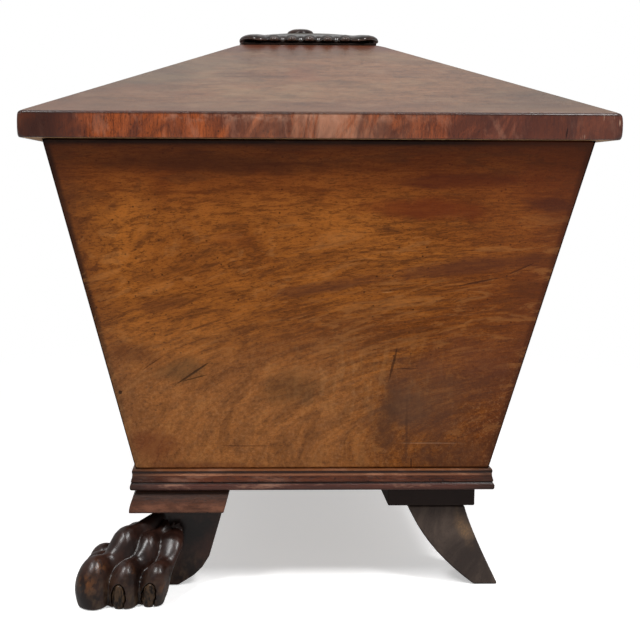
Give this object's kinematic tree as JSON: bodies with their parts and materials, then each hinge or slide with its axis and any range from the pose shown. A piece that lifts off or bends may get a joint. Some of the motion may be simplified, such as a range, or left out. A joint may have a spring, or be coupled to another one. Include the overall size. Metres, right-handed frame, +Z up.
{
  "type": "cellarette",
  "caption": "Sarcophagus-shaped wooden wine box on paw and sabre feet, with a hinged hipped lid, a lock, a metal liner and a bottle rack.",
  "frame": {"origin": "on the floor, below the middle of the box", "axes": "+Z up, front towards -Y, the long side along X"},
  "size_m": [0.82, 0.56, 0.6151],
  "materials": {
    "mahogany": "polished, worn",
    "banding": "polished, worn",
    "moulding": "polished, worn",
    "carving": "dark polish, rubbed on the high places",
    "plain_foot": "dull dark stain",
    "inner_wood": "bare, dry",
    "zinc": "dull, oxidised",
    "brass": "aged",
    "steel": "aged"
  },
  "bodies": {
    "carcass": {"front_panel": "mahogany", "back_panel": "mahogany", "left_panel": "mahogany", "right_panel": "mahogany", "bottom_board": "inner_wood", "base_moulding_front": "moulding", "base_moulding_back": "moulding", "base_moulding_left": "moulding", "base_moulding_right": "moulding", "front_foot_block_left": "moulding", "front_foot_block_right": "moulding", "back_foot_block_left": "plain_foot", "back_foot_block_right": "plain_foot", "paw_foot_left": "carving", "paw_foot_right": "carving", "sabre_foot_left": "plain_foot", "sabre_foot_right": "plain_foot", "zinc_liner": "zinc", "bottle_divider_long_1": "inner_wood", "bottle_divider_long_2": "inner_wood", "bottle_divider_cross_1": "inner_wood", "bottle_divider_cross_2": "inner_wood", "bottle_divider_cross_3": "inner_wood", "bottle_divider_cross_4": "inner_wood", "lock_case": "steel", "key_escutcheon": "brass", "hinge_carcass_leaf_left": "brass", "hinge_carcass_leaf_right": "brass", "hinge_pin_left": "brass", "hinge_pin_right": "brass", "carcass_hinge_screw_1": "brass", "carcass_hinge_screw_2": "brass", "carcass_hinge_screw_3": "brass", "carcass_hinge_screw_4": "brass"},
    "lid": {"lid_band_front": "banding", "lid_band_back": "banding", "lid_band_left": "banding", "lid_band_right": "banding", "lid_rail_front": "inner_wood", "lid_rail_back": "inner_wood", "lid_rail_left": "inner_wood", "lid_rail_right": "inner_wood", "lid_slope_front": "mahogany", "lid_slope_back": "mahogany", "lid_slope_left": "mahogany", "lid_slope_right": "mahogany", "lid_top_board": "mahogany", "plate_plinth": "carving", "carved_plate": "carving", "plate_boss": "carving", "lock_link_plate": "steel", "hinge_lid_leaf_left": "brass", "hinge_lid_leaf_right": "brass", "lid_hinge_screw_1": "brass", "lid_hinge_screw_2": "brass", "lid_hinge_screw_3": "brass", "lid_hinge_screw_4": "brass"},
    "bolt": {"lock_bolt": "brass"}
  },
  "joints": [
    {"name": "lid_hinge", "type": "hinge", "parent": "carcass", "child": "lid", "pos_m": [0, 0.2625, 0.46605], "axis": [-1, 0, 0], "range_deg": [0, 105]},
    {"name": "bolt_slide", "type": "slide", "parent": "carcass", "child": "bolt", "axis": [1, 0, 0], "range_m": [0, 0.006]}
  ]
}
